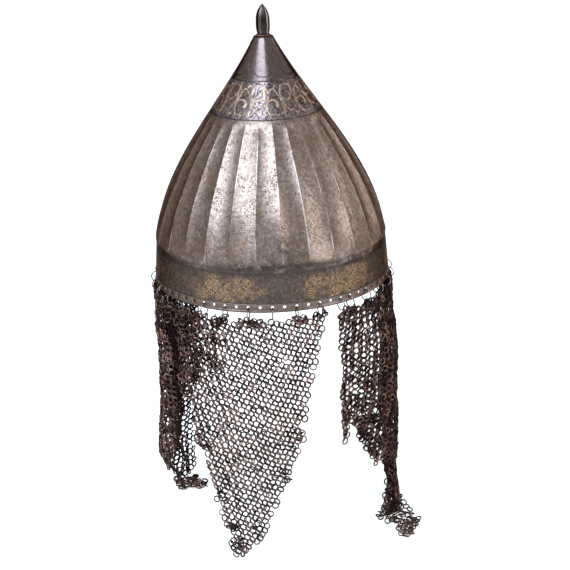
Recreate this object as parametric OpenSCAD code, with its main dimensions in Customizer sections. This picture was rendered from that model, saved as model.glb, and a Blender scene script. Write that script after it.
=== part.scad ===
// Turban helmet: a fluted steel bowl with a bud finial and three hanging panels of mail.
// Millimetres. The origin is the centre of the rim's plane and +Z runs up the bowl's axis.
// The side with the neck panel faces -Y. Angles round the rim start at -Y and grow towards +X.

/* [Bowl] */
// Outside diameter of the bowl at its rim
rim_d = 230; // [200:1:260]
// Height of the bowl from the rim to the flat of its top
bowl_h = 234; // [200:1:260]
// Thickness of the bowl's steel
wall = 1.5; // [1.2:0.1:3]
// Lean of the plain lower band towards the axis, in degrees
band_lean = 3.9; // [0:0.1:10]
// Height of the plain lower band
band_h = 42; // [25:1:60]
// Lean of the belly where it leaves the band, in degrees
belly_lean = 8.5; // [0:0.5:15]
// How far the belly's line carries on up before it curves in
belly_pull = 75; // [50:1:100]
// Half angle of the cone that the curve ends in, in degrees
cone_angle = 27; // [18:0.5:35]
// How far the cone's line reaches down into the curve
cone_pull = 68; // [40:1:80]
// Radius of the flat on the bowl's top
top_r = 8.9; // [8:0.1:14]
// Thickness of the solid top that the finial is fixed in
crown_t = 7; // [4:0.5:10]
// Thickness of the rounded lip round the rim
lip_t = 3; // [2:0.1:5]

/* [Flutes] */
// Number of flutes round the bowl
flutes = 28; // [12:1:40]
// Depth of a flute at the belly
flute_depth = 2.2; // [0.5:0.1:4]
// Height where the flutes end below the upper band
flute_top = 163; // [120:1:180]
// Length over which a flute runs out at its foot
flute_foot = 26; // [4:1:40]
// Length over which a flute fades at its top
flute_head = 8; // [4:1:30]
// How far the flutes stand proud of the lower band
flute_proud = 0.7; // [0.3:0.1:1.5]
// Turn of the first ridge from the middle of the shown side, in degrees
flute_turn = 5.3; // [-15:0.1:15]

/* [Rim holes and hanger rings] */
// Number of holes round the rim
rim_holes = 64; // [32:1:90]
// Diameter of a rim hole
hole_d = 2.8; // [2:0.1:4]
// Height of the holes above the rim
hole_z = 5.2; // [4.5:0.1:9]
// Turn of the first hole from the middle of the shown side, in degrees
hole_turn = -0.5; // [-3:0.1:3]
// Thickness of the hanger rings' wire
hanger_wire = 1.1; // [0.8:0.1:1.6]
// Inside diameter of a hanger ring
hanger_bore = 10; // [9:0.5:16]

/* [Finial] */
// Height of the bud above its washer
bud_h = 28.3; // [15:0.1:45]
// Widest diameter of the bud, across its edges
bud_d = 13.5; // [8:0.1:16]
// Diameter of the bud's foot, across its edges
bud_foot_d = 11.2; // [7:0.1:14]
// Height of the bud's widest place above its foot
bud_waist_h = 8.5; // [4:0.1:14]
// How full the bud stays before its point: a higher power is blunter
bud_fullness = 3.1; // [1.5:0.1:5]
// Turn of the bud's first edge from the middle of the shown side, in degrees
bud_turn = 23; // [-30:1:30]
// Diameter of the washer under the bud
washer_d = 14.4; // [11:0.1:16]
// Thickness of the washer under the bud
washer_t = 1.2; // [0.6:0.1:2]
// Diameter of the tang that goes through the bowl's top
tang_d = 5; // [3:0.1:7]
// Diameter of the rove inside the bowl
rove_d = 12; // [9:0.1:15]
// Thickness of the rove inside the bowl
rove_t = 1.6; // [1:0.1:3]
// Height of the tang's hammered head under the rove
tang_head_h = 1.4; // [0.8:0.1:3]

/* [Mail] */
// Thickness of a layer of mail
mail_t = 2.2; // [1.6:0.1:3]
// Distance from the hanger rings' middles out to the middle of the mail
mail_out = 2.1; // [0.5:0.1:4]
// Depth below the rim of the surface that the mail's ends reach
mail_drop = 254; // [180:1:300]
// Height of the main folds from crest to middle, where a panel is widest
fold_height = 1.5; // [0:0.1:4]
// Number of folds across each panel
folds = 3; // [1:1:6]
// Height of the tight folds in the right panel's gathered end
gather_height = 5; // [0:0.5:8]
// Distance from one row of rings to the next down the side panels
row_pitch = 3; // [2.5:0.1:6]
// How far the side panels' rows of rings lean out and in by turns
row_relief = 0.5; // [0.1:0.1:0.8]
// Thickness of the mail that lies in a heap at the end of a side panel
heap_t = 4; // [2.5:0.5:10]
// Distance from the hanger rings' middles in to the level line that the neck panel swings about
neck_hinge_in = 2.4; // [0:0.1:8]
// Distance from the hanger rings' middles in to the level line that the left panel swings about
left_hinge_in = 6.4; // [0:0.1:8]
// Distance from the hanger rings' middles in to the level line that the right panel swings about
right_hinge_in = 2.9; // [0:0.1:8]
// How far the panels lift from hanging, in degrees
mail_lift = 45; // [20:1:60]

/* [Hidden] */
$fn = 96;
clear = 0.4;          // free gap between the hanger rings and the mail under them
seat = 0.1;           // gap between a hanger ring and the hole's edge that it hangs on
rim_r = rim_d / 2;
band_in = tan(band_lean);
hole_step = 360 / rim_holes;
top_z = bowl_h + washer_t;
crown_z = bowl_h - crown_t;
hanger_r = (hanger_bore + hanger_wire) / 2;
hanger_top = hole_z - hole_d / 2 + seat + hanger_wire / 2;
hanger_z = hanger_top - hanger_r;
ring_r = rim_r - hole_z * band_in - wall / 2;  // distance of the hanger rings' middles from the axis
mail_r = ring_r + mail_out;
mail_top = hanger_z - hanger_r - hanger_wire / 2 - clear;

// Holes that carry a hanger ring, counted from the first hole towards +X
neck_holes = [-6, -4, -2, 0, 2, 4];
left_holes = [for (i = [-22:2:-10]) i];
right_holes = [6, 7, for (i = [9:2:19]) i];

// Outline of each panel: share of the way down, then the angles of its two side edges
neck_outline = [
    [0, -50.5, 25], [0.13, -51.5, 21], [0.34, -53, 14.5], [0.36, -45, 14.3], [0.53, -44, 10], [0.55, -36, 8.5],
    [0.62, -35.5, 4.5], [0.75, -30, -0.5], [0.82, -29, -4], [0.89, -25, -7.5], [0.96, -25, -15], [1, -21.5, -18.5]
];
left_outline = [
    [0, -132, -52.5], [0.2, -132, -54], [0.54, -132, -56], [0.59, -132, -56], [0.68, -132, -69], [0.76, -132, -83],
    [0.84, -132, -97], [0.92, -131.5, -105], [0.97, -128, -109], [1, -124, -110]
];
right_outline = [
    [0, 29.5, 118.5], [0.12, 31.5, 118.5], [0.43, 32, 118], [0.54, 38, 117], [0.64, 47, 116],
    [0.71, 57, 113], [0.76, 64, 109], [0.82, 74, 103], [0.9, 77, 98], [1, 78, 96]
];

// How far each panel hangs out from the radius that it starts on: share of the way down, then distance
neck_hang = [[0, 0], [1, 6]];
left_hang = [[0, 1], [0.05, 2.5], [0.22, -1.5], [0.48, 0], [0.76, 7], [1, 0]];
right_hang = [[0, 1], [0.25, 6], [0.7, 4.5], [0.85, 1], [1, 1]];

// Corners of the mail that lies on the ground, for the two side panels: angle round the axis, then distance
// out from the mail's radius
left_heap = [[-105, 1], [-106.5, -17], [-110.5, -33], [-117.5, -29], [-119.5, -10], [-122, 2], [-111, 5]];
right_heap = [
    [98, -9], [79, -13], [65.5, -11.5], [63.5, 2.5], [58.5, 18], [57, 28], [52, 41.5], [57.5, 42], [64, 37.5],
    [70.5, 36], [77, 20.5], [87.5, 11], [96, 5]
];

// Which piece to show

steel = [0.47, 0.44, 0.42];
dark_steel = [0.33, 0.31, 0.31];
rust = [0.36, 0.22, 0.15];
iron = [0.27, 0.23, 0.21];

// General shapes

// Place on the rim's circle: angle from -Y towards +X, radius and height.
function polar(a, r, z) = [r * sin(a), -r * cos(a), z];

// Smooth step from 0 at edge a to 1 at edge b.
function ease(a, b, x) = let (t = max(0, min(1, (x - a) / (b - a)))) t * t * (3 - 2 * t);

// Value at x of a list of [x, y, ...] rows, in column c, by straight lines.
function along(rows, x, c, i = 0) =
    x <= rows[i + 1][0] || i == len(rows) - 2
        ? let (t = (x - rows[i][0]) / (rows[i + 1][0] - rows[i][0])) rows[i][c] + t * (rows[i + 1][c] - rows[i][c])
        : along(rows, x, c, i + 1);

// Triangles of a grid of points that starts at number first and has rows down and columns across, where
// each row may close on itself.
function grid_faces(rows, columns, first = 0, closed = false) = [
    for (j = [0:rows - 2], i = [0:columns - (closed ? 1 : 2)])
        let (a = first + j * columns + i, b = first + j * columns + (i + 1) % columns, c = b + columns, d = a + columns)
            each [[a, b, c], [a, c, d]]
];

// Triangles turned inside out.
function flipped(faces) = [for (f = faces) [f[0], f[2], f[1]]];

// Closed tube wall: rings of points are joined one to the next, and the last to the first.
module ring_skin(rings) {
    polyhedron(
        points = [for (ring = concat(rings, [rings[0]])) each ring],
        faces = grid_faces(len(rings) + 1, len(rings[0]), closed = true)
    );
}

// Closed sheet between a front and a back grid of points, with its four edges.
module sheet_skin(front, back) {
    n = len(front[0]);
    m = len(front);
    rim = concat(
        [for (i = [0:n - 1]) i],
        [for (j = [1:m - 1]) j * n + n - 1],
        [for (i = [n - 2:-1:0]) (m - 1) * n + i],
        [for (j = [m - 2:-1:1]) j * n]
    );
    polyhedron(
        points = concat([for (row = front) each row], [for (row = back) each row]),
        faces = concat(
            grid_faces(m, n),
            flipped(grid_faces(m, n, n * m)),
            [for (k = [0:len(rim) - 1])
                let (a = rim[k], b = rim[(k + 1) % len(rim)])
                    each [[b, a, a + n * m], [b, a + n * m, b + n * m]]]
        )
    );
}

// Bowl

// The curve of the bowl's outside above the band starts where the band ends and runs into the cone.
curve_start = [rim_r - band_h * band_in, band_h];
curve_end = [top_r, bowl_h];
curve_belly = curve_start + belly_pull * [-tan(belly_lean), 1];
curve_cone = curve_end + cone_pull * [sin(cone_angle), -cos(cone_angle)];

// Point of the bowl's curve at t from 0 to 1, as [radius, height].
function bowl_point(t) =
    pow(1 - t, 3) * curve_start + 3 * pow(1 - t, 2) * t * curve_belly
    + 3 * (1 - t) * t * t * curve_cone + pow(t, 3) * curve_end;

// Place on the curve, as t, where it has height z.
function bowl_t(z, low = 0, high = 1, left = 24) =
    left == 0 ? (low + high) / 2
    : let (mid = (low + high) / 2)
        bowl_point(mid)[1] < z ? bowl_t(z, mid, high, left - 1) : bowl_t(z, low, mid, left - 1);

// Outside radius of the bowl at height z, without flutes.
function bowl_r(z) = z < band_h ? rim_r - z * band_in : bowl_point(bowl_t(z))[0];

// Slope of the outside at height z, which makes the wall wider along a level cut.
function level_wall(z) = wall * sqrt(1 + pow(bowl_r(z + 0.5) - bowl_r(z - 0.5), 2));

// Depth of the fluting at height z: nothing at the foot, full at the belly, fading upwards.
function flute_at(z) =
    flute_depth * bowl_r(z) / bowl_r(band_h)
    * ease(band_h, band_h + flute_foot, z) * ease(flute_top, flute_top - flute_head, z);

// A level ring of the fluted wall, set in or out by shift.
flute_sides = 4;
function flute_ring(z, shift) = [for (i = [0:flutes * flute_sides - 1])
    let (u = (i % flute_sides) / flute_sides, hollow = 1 - pow(2 * u - 1, 2))
        polar(flute_turn + i * 360 / (flutes * flute_sides), bowl_r(z) + shift - flute_at(z) * hollow, z)];

module rim_band() {
    lap = wall;  // how far the band reaches up inside the foot of the fluted wall
    difference() {
        rotate_extrude()
            polygon([
                [rim_r - level_wall(0), lip_t / 2],
                [rim_r, lip_t / 2],
                [bowl_r(band_h + lap) - flute_proud / 2, band_h + lap],
                [bowl_r(band_h + lap) - flute_proud / 2 - wall * 0.6, band_h + lap]
            ]);
        for (i = [0:rim_holes - 1])
            rotate([0, 0, hole_turn + i * hole_step - 90])
                translate([rim_r, 0, hole_z])
                    rotate([0, 90, 0])
                        cylinder(d = hole_d, h = 5 * lip_t, center = true, $fn = 24);
    }
    rotate_extrude()
        translate([rim_r - 0.4 * lip_t, lip_t / 2])
            circle(d = lip_t, $fn = 32);
}

module fluted_wall() {
    rows_up = 12;
    levels = [for (j = [0:rows_up]) band_h + (flute_top - band_h) * pow(j / rows_up, 1.35)];
    outside = [for (j = [rows_up:-1:0]) flute_ring(levels[j], flute_proud * ease(flute_top, band_h, levels[j]))];
    inside = [for (z = levels) flute_ring(z, -level_wall(z))];
    ring_skin(concat(outside, inside));
}

module crown() {
    lap = wall;  // how far the crown reaches down round the top of the fluted wall
    proud = 0.4;  // how far it stands outside and inside that wall
    steps = 12;
    low = bowl_t(flute_top - lap);
    high = bowl_t(crown_z);
    rotate_extrude()
        polygon(concat(
            [for (i = [0:steps]) let (t = low + (1 - low) * i / steps, p = bowl_point(t)) [p[0] + proud * (1 - i / steps), p[1]]],
            [[tang_d / 2, bowl_h], [tang_d / 2, crown_z]],
            [for (i = [steps:-1:0])
                let (t = low + (high - low) * i / steps, p = bowl_point(t))
                    [p[0] - level_wall(p[1]) - proud * (1 - i / steps), p[1]]]
        ));
}

module helmet_bowl() {
    color(steel) {
        rim_band();
        fluted_wall();
        crown();
    }
}

// Finial

// Radius of the bud at height z above its foot: a swelling foot and a full, pointed head.
function bud_r(z) =
    z < bud_waist_h
        ? bud_foot_d / 2 + (bud_d - bud_foot_d) / 2 * sin(90 * z / bud_waist_h)
        : bud_d / 2 * (1 - pow((z - bud_waist_h) / (bud_h - bud_waist_h), bud_fullness));

module finial() {
    steps = 14;
    color(dark_steel) {
        translate([0, 0, top_z])
            rotate([0, 0, bud_turn - 90])
                rotate_extrude($fn = 6)
                    polygon(concat([[0, 0]], [for (i = [0:steps]) let (z = bud_h * i / steps) [bud_r(z), z]]));
        translate([0, 0, crown_z - rove_t])
            cylinder(d = tang_d, h = top_z - crown_z + rove_t + 1, $fn = 48);
        translate([0, 0, crown_z - rove_t - tang_head_h])
            cylinder(d = tang_d * 1.4, h = tang_head_h, $fn = 48);
    }
}

module finial_washer() {
    color(rust)
        translate([0, 0, bowl_h])
            difference() {
                cylinder(d = washer_d, h = washer_t);
                translate([0, 0, -1])
                    cylinder(d = tang_d, h = washer_t + 2, $fn = 48);
            }
}

module tang_rove() {
    color(rust)
        translate([0, 0, crown_z - rove_t])
            difference() {
                cylinder(d = rove_d, h = rove_t);
                translate([0, 0, -1])
                    cylinder(d = tang_d, h = rove_t + 2, $fn = 48);
            }
}

// Hanger rings

// One wire ring through a rim hole: it stands in the upright plane through the axis, round the lip.
module hanger_ring(hole) {
    rotate([0, 0, hole_turn + hole * hole_step])
        translate([0, -ring_r, hanger_z])
            rotate([0, 90, 0])
                rotate_extrude($fn = 48)
                    translate([hanger_r, 0])
                        circle(d = hanger_wire, $fn = 16);
}

module neck_hanger_rings() {
    color(iron)
        for (hole = neck_holes)
            hanger_ring(hole);
}

module left_hanger_rings() {
    color(iron)
        for (hole = left_holes)
            hanger_ring(hole);
}

module right_hanger_rings() {
    color(iron)
        for (hole = right_holes)
            hanger_ring(hole);
}

// Mail

// Depth that the top edge at angle a is cut down by, so that it clears the hanger rings as the panel, whose
// middle is at angle mid, swings out about a level line hinge_r from the axis. outer_r is its outer radius.
function swing_relief(a, mid, outer_r, hinge_r) = max(0, outer_r * cos(a - mid) - hinge_r) * sin(mail_lift);

// Radius of a panel's middle a share u across and v down, where its width is a share w of its widest.
// gather is the height of extra tight folds near the panel's end.
function hang_r(hang, u, v, w, gather) =
    mail_r + along(hang, v, 1)
    + fold_height * w * sin(360 * folds * u) * ease(0, 0.2, v)
    + gather * sin(720 * u) * ease(0.62, 0.85, v);

// Point of a panel at a share v of the way down and u across, set out from its middle by shift. thick is the
// sheet's whole thickness with its rows' relief.
function mail_point(outline, hang, hinge_r, u, v, gather, shift, thick) =
    let (
        from = along(outline, v, 1),
        to = along(outline, v, 2),
        widest = outline[0][2] - outline[0][1],
        a = from + (to - from) * u,
        mid = (outline[0][1] + outline[0][2]) / 2,
        top = mail_top - swing_relief(a, mid, mail_r + hang[0][1] + thick / 2, hinge_r)
    )
    polar(a, hang_r(hang, u, v, (to - from) / widest, gather) + shift, top * (1 - v) - mail_drop * v);

// A hanging panel of mail, with a front and a back face mail_t apart. Its rows stand out and in by turns.
module mail_panel(outline, hang, hinge_r, rows, columns, gather = 0, relief = 0) {
    thick = mail_t + 2 * relief;
    face = function (shift) [for (j = [0:rows])
        let (lean = j % 2 == 0 ? relief : -relief)
            [for (i = [0:columns])
                mail_point(outline, hang, hinge_r, i / columns, j / rows, gather, shift + lean, thick)]];
    sheet_skin(face(mail_t / 2), face(-mail_t / 2));
}

// A side panel, whose rows of rings hang level and show one by one.
module side_panel(outline, hang, hinge_r, gather = 0) {
    rows = round((mail_drop + mail_top) / row_pitch);
    mail_panel(outline, hang, hinge_r, rows, 12, gather, row_relief);
}

// Mail heaped flat on the surface under a side panel.
module mail_heap(corners) {
    translate([0, 0, -mail_drop])
        linear_extrude(heap_t)
            polygon([for (c = corners) (mail_r + c[1]) * [sin(c[0]), -cos(c[0])]]);
}

module neck_mail() {
    color(iron)
        mail_panel(neck_outline, neck_hang, ring_r - neck_hinge_in, 25, 20);
}

module left_mail() {
    color(iron) {
        side_panel(left_outline, left_hang, ring_r - left_hinge_in);
        mail_heap(left_heap);
    }
}

module right_mail() {
    color(iron) {
        side_panel(right_outline, right_hang, ring_r - right_hinge_in, gather_height);
        mail_heap(right_heap);
    }
}

helmet_bowl();
finial();
finial_washer();
tang_rove();
neck_hanger_rings();
left_hanger_rings();
right_hanger_rings();
neck_mail();
left_mail();
right_mail();
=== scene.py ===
import math
import bmesh
import bpy
import numpy as np
from mathutils import Matrix, Vector


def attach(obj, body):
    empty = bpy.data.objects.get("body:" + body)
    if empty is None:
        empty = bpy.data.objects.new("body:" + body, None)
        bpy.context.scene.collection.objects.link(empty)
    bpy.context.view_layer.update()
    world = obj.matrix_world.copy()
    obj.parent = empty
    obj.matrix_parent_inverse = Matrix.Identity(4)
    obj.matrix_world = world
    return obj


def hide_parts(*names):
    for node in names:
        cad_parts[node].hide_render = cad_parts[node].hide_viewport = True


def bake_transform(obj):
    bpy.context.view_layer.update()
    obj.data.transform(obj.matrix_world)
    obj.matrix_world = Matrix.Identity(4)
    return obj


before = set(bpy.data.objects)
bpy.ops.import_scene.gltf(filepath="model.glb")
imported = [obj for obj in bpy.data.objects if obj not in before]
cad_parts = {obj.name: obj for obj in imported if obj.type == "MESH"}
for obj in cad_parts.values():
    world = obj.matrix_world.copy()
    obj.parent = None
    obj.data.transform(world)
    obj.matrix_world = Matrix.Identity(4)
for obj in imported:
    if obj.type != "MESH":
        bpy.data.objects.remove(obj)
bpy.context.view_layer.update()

# Every length in the formulas is in millimetres and every mesh in metres, in the model's own frame: the rim's
# centre is the origin and +Z runs up the bowl. Angles round the bowl are degrees from -Y, growing towards +X.


# Bowl
# The real bowl is one shell of forged steel: a plain band at the rim, 28 hollow flutes, and a plain cone that
# ends in the finial. Its rim is rolled into a lip, and 64 holes are drilled through the band above that lip.

rim_r = 115.0  # outside radius at the rim
band_h = 42.0  # height of the plain band
band_lean = 3.9  # lean of the band, degrees
top_r = 8.9  # radius of the flat top
bowl_h = 234.0  # height of the flat top
belly_lean = 8.5  # lean of the belly over the band, degrees
belly_pull = 75.0  # length over which that lean draws the belly's line
cone_lean = 27.0  # lean of the cone at the flat top, degrees
cone_pull = 68.0  # length over which that one draws it
band_dish = 0.35  # how far the band is dished under the flutes
crown_z = 227.0  # height of the solid top's underside
wall = 1.5  # thickness of the steel
lip_r = 1.5  # radius of the rolled lip's section
tang_r = 2.5  # radius of the hole that the finial's tang fills
flutes = 28
flute_turn = 5.3  # turn of the first ridge, degrees
flute_depth = 2.2  # depth of a flute at the belly
flute_proud = 0.7  # how far the flutes stand out from the band
flute_foot = 42.3  # height of a flute's lowest point
flute_top = 163.0  # height where the flutes end
flute_head = 7.0  # length over which a flute rises to its top end
flute_heel = 30.0  # length over which it deepens from its foot
flute_corner = 5.0  # how much higher the fluted wall's edge lies at a ridge
holes = 64
hole_turn = -0.5  # turn of the first hole, degrees
hole_z = 5.2  # height of the holes' middles
hole_r = 1.4
hole_bevel_r = 1.9  # radius of a hole where its edge is bevelled
per_hole = 7  # columns of the bowl's grid over one hole's share of the rim
per_flute = 16  # columns over one flute
columns = holes * per_hole
ridge_column = 11  # column that runs up the first ridge
even_z, close_z = 12, 38  # heights between which the columns move from the holes' spacing to the flutes'


def ease(low, high, x):
    """Smooth step: 0 where x is at low, 1 where it is at high, and 3t^2 - 2t^3 between."""
    t = np.clip((x - low) / (high - low), 0, 1)
    return t * t * (3 - 2 * t)


def polar(angle, radius, height):
    """Points round the bowl's axis: (radius sin angle, -radius cos angle, height), turned into metres."""
    a = np.radians(angle)
    points = np.broadcast_arrays(radius * np.sin(a), -radius * np.cos(a), height)
    return np.stack(points, axis=-1) * 0.001


def bowl_line():
    """The belly's line: a cubic curve from the band's top to the flat top, which leaves each of them at its
    lean. Its points are start, belly, shoulder and end, weighted (1-t)^3, 3(1-t)^2 t, 3(1-t) t^2 and t^3."""
    lean, cone = math.radians(belly_lean), math.radians(cone_lean)
    start = np.array([rim_r - band_h * math.tan(math.radians(band_lean)), band_h])
    end = np.array([top_r, bowl_h])
    belly = start + belly_pull * np.array([-math.tan(lean), 1])
    shoulder = end + cone_pull * np.array([math.sin(cone), -math.cos(cone)])
    t = np.linspace(0, 1, 400)[:, None]
    low = (1 - t) ** 3 * start + 3 * (1 - t) ** 2 * t * belly
    high = 3 * (1 - t) * t * t * shoulder + t ** 3 * end
    return (low + high).T


line_r, line_z = bowl_line()


def bowl_r(z):
    """Outside radius at height z before fluting: a straight lean up the band, then the belly's line."""
    return np.where(z < band_h, rim_r - z * math.tan(math.radians(band_lean)), np.interp(z, line_z, line_r))


def across_flute(angle):
    """Place across a flute: -1 at one ridge, 0 in the middle and 1 at the next ridge."""
    return 2 * np.mod((angle - flute_turn) * flutes / 360, 1) - 1


def flute_hollow(angle, z):
    """How far in the flutes take the wall: depth times 1 - x^2, where x is the place across the flute.

    The depth follows the bowl's radius, grows slowly from the foot and fades again to the top.
    """
    x = across_flute(angle)
    depth = flute_depth * bowl_r(z) / bowl_r(band_h) * ease(flute_top, flute_top - flute_head, z)
    return depth * ease(flute_foot - 8, flute_foot + flute_heel, z) * (1 - x * x)


def flute_edge(angle):
    """Height of the fluted wall's lower edge: level under a flute, and the corner's rise times x^6 higher
    towards its two ridges."""
    return flute_foot + flute_corner * across_flute(angle) ** 6


def bowl_out(angle, z):
    """Radius of the outside: the plain line less the flutes' hollows. The fluted wall stands proud of the
    band above its edge, and the band is dished below it."""
    edge = flute_edge(angle)
    proud = flute_proud * ease(flute_top, band_h, z) * ease(edge - 0.5, edge + 0.6, z)
    dish = band_dish * ease(0, band_h, z) * (z < band_h + 3) * (proud < 0.1)
    return bowl_r(z) + proud - flute_hollow(angle, z) - dish


def bowl_in(angle, z):
    """Radius of the inside: the outside less the wall, which a level cut shows wider where the bowl leans."""
    slope = bowl_r(z + 0.5) - bowl_r(z - 0.5)
    return bowl_r(z) - flute_hollow(angle, z) - wall * np.sqrt(1 + slope ** 2)


def columns_at(z):
    """Angles of the grid's columns at height z: even over the holes, and spaced by a sine over the flutes,
    so that they lie closest at the ridges."""
    index = np.arange(columns)
    even = hole_turn - 180 / holes + index * 360 / columns
    flute, part = np.divmod(index - ridge_column, per_flute)
    share = (1 + np.sin(np.pi / 2 * (part * 2 / per_flute - 1))) / 2
    close = flute_turn + (flute + share) * 360 / flutes
    return even + (close - even) * ease(even_z, close_z, z)


def grid_faces(rows, across):
    """Four-cornered faces between neighbouring points of a grid, whose rows close on themselves."""
    at = np.arange(rows * across).reshape(rows, across)
    at = np.concatenate([at, at[:, :1]], axis=1)
    corners = [at[:-1, :-1], at[:-1, 1:], at[1:, 1:], at[1:, :-1]]
    return np.stack(corners, axis=-1).reshape(-1, 4)


def in_scene(name, data):
    """An object that holds a mesh, a lamp or a camera, put in the scene."""
    thing = bpy.data.objects.new(name, data)
    bpy.context.scene.collection.objects.link(thing)
    return thing


def new_mesh(name, points, faces):
    mesh = bpy.data.meshes.new(name)
    mesh.from_pydata(points, [], faces)
    return mesh


weld = 1e-6  # points nearer than this become one, in metres


def make_piece(name, grids, sharp=40):
    """One mesh of several grids, each rows x across x 3 with closed rows. Its faces are turned outwards, and
    edges that bend more than sharp degrees stay crisp."""
    points, faces, count = [], [], 0
    for grid in grids:
        rows, across = grid.shape[:2]
        points.append(grid.reshape(-1, 3))
        faces.append(grid_faces(rows, across) + count)
        count += rows * across
    mesh = new_mesh(name, np.concatenate(points), np.concatenate(faces))
    shell = bmesh.new()
    shell.from_mesh(mesh)
    bmesh.ops.remove_doubles(shell, verts=shell.verts, dist=weld)
    bmesh.ops.dissolve_degenerate(shell, edges=shell.edges, dist=weld)
    bmesh.ops.recalc_face_normals(shell, faces=shell.faces)
    shell.to_mesh(mesh)
    shell.free()
    mesh.shade_smooth()
    mesh.set_sharp_from_angle(angle=math.radians(sharp))
    return in_scene(name, mesh)


def rings_of(profile, angles):
    """A profile of (radius, height) points turned round the axis at the given angles, as one grid."""
    radius, height = np.array(profile, float).T
    return polar(angles[None, :], radius[:, None], height[:, None])


def wall_grid(levels, surface):
    """Rows of the wall at the given levels, with their radius from a function of angle and height."""
    angle = np.stack([columns_at(z) for z in levels])
    height = np.broadcast_to(np.asarray(levels, float)[:, None], angle.shape)
    return polar(angle, surface(angle, height), height)


strip_low, strip_high = 2.9, 8.0  # the strip round the holes


def hole_strip():
    """The strip of the band with the holes: round each hole, rings run from the strip's four sides in to the
    hole's bevelled edge, through the wall and out again to the same four sides on the inside."""
    side = 180 / holes
    along = np.linspace(-side, side, per_hole + 1)
    up = np.linspace(strip_low, strip_high, 4)
    turn = np.concatenate([along[:-1], np.full(3, side), along[:0:-1], np.full(3, -side)])
    height = np.concatenate([np.full(per_hole, strip_low), up[:-1], np.full(per_hole, strip_high), up[:0:-1]])
    toward = np.arctan2(height - hole_z, np.radians(turn) * rim_r)
    shape = [(hole_bevel_r, 0), (hole_r, 0.2), (hole_r, 0.8), (hole_bevel_r, 1)]
    turns = [turn] + [np.degrees(r * np.cos(toward) / rim_r) for r, _ in shape] + [turn]
    heights = [height] + [hole_z + r * np.sin(toward) for r, _ in shape] + [height]
    depths = [0] + [deep for _, deep in shape] + [1]
    grids = []
    for hole in range(holes):
        middle = hole_turn + hole * 360 / holes
        rows = []
        for turn_row, height_row, deep in zip(turns, heights, depths):
            outside, inside = bowl_out(turn_row, height_row), bowl_in(turn_row, height_row)
            rows.append(polar(middle + turn_row, outside + (inside - outside) * deep, height_row))
        grids.append(np.stack(rows))
    return grids


def lip_grid():
    """The rolled lip: from the strip's lower side round a 3 mm bead and up to the strip on the inside."""
    turns = np.radians([40, 20, 0, -30, -60, -90, -120, -150, -180, -200, -220])
    bead = [(rim_r - 0.8 * lip_r + lip_r * math.cos(t), lip_r + lip_r * math.sin(t)) for t in turns]
    start = (float(bowl_out(0, np.array(strip_low))), strip_low)
    end = (float(bowl_in(0, np.array(strip_low))), strip_low)
    return rings_of([start] + bead + [end], columns_at(0))


def shell_grid():
    """The bowl above the strip: up the outside, over the rounded top, down the tang's hole and down the
    inside. The rows lie closest where the fluted wall steps out from the band."""
    levels = np.concatenate([
        np.linspace(strip_high, band_h - 1.4, 10),
        np.linspace(band_h - 0.8, band_h + 11, 22),
        np.linspace(band_h + 13, flute_top, 52),
        np.linspace(flute_top + 2, bowl_h - 2, 28)
    ])
    outside = wall_grid(levels, bowl_out)
    r = float(bowl_r(np.array(bowl_h - 2)))
    rounded = [(r - 0.4, bowl_h - 1.1), (r - 1.1, bowl_h - 0.3), (r - 2.2, bowl_h)]
    top = rings_of(rounded + [(tang_r, bowl_h), (tang_r, crown_z)], columns_at(bowl_h))
    foot = [band_h + 6, band_h + 3, band_h, 34, 26, 17, strip_high]
    inside = wall_grid(np.concatenate([np.linspace(crown_z, band_h + 10, 42), foot]), bowl_in)
    return np.concatenate([outside, top, inside])


bowl = make_piece("bowl", [lip_grid(), shell_grid()] + hole_strip(), sharp=60)
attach(bowl, "helmet")
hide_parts("helmet_bowl")


def sum_of(kind):
    """A sum of a kind, as a method of what comes out of a node."""
    return lambda value, *others: value.tree.maths(kind, value, *others)


class Value:
    """What comes out of a node. A sum that is written with it adds the nodes that work it out."""

    def __init__(self, tree, socket):
        self.tree, self.socket = tree, socket

    def __rsub__(self, other):
        return self.tree.maths("SUBTRACT", other, self)

    __add__ = __radd__ = sum_of("ADD")
    __mul__ = __rmul__ = sum_of("MULTIPLY")
    __sub__ = sum_of("SUBTRACT")
    __truediv__ = sum_of("DIVIDE")
    __pow__ = sum_of("POWER")
    __abs__ = sum_of("ABSOLUTE")


class Nodes:
    """The nodes of a material or of the world."""

    def __init__(self, owner):
        owner.use_nodes = True
        self.nodes = owner.node_tree.nodes
        self.links = owner.node_tree.links

    def put(self, socket, value):
        if isinstance(value, Value):
            self.links.new(value.socket, socket)
        else:
            socket.default_value = value

    def add(self, kind, inputs, *outputs, **settings):
        """Adds a node with its settings and inputs, and gives back the outputs that are named."""
        node = self.nodes.new("ShaderNode" + kind)
        for name, value in settings.items():
            setattr(node, name, value)
        for name, value in inputs.items():
            self.put(node.inputs[name], value)
        values = [Value(self, node.outputs[name]) for name in outputs]
        return values if len(values) > 1 else values[0]

    def maths(self, kind, *values):
        return self.add("Math", dict(enumerate(values)), 0, operation=kind)


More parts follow.
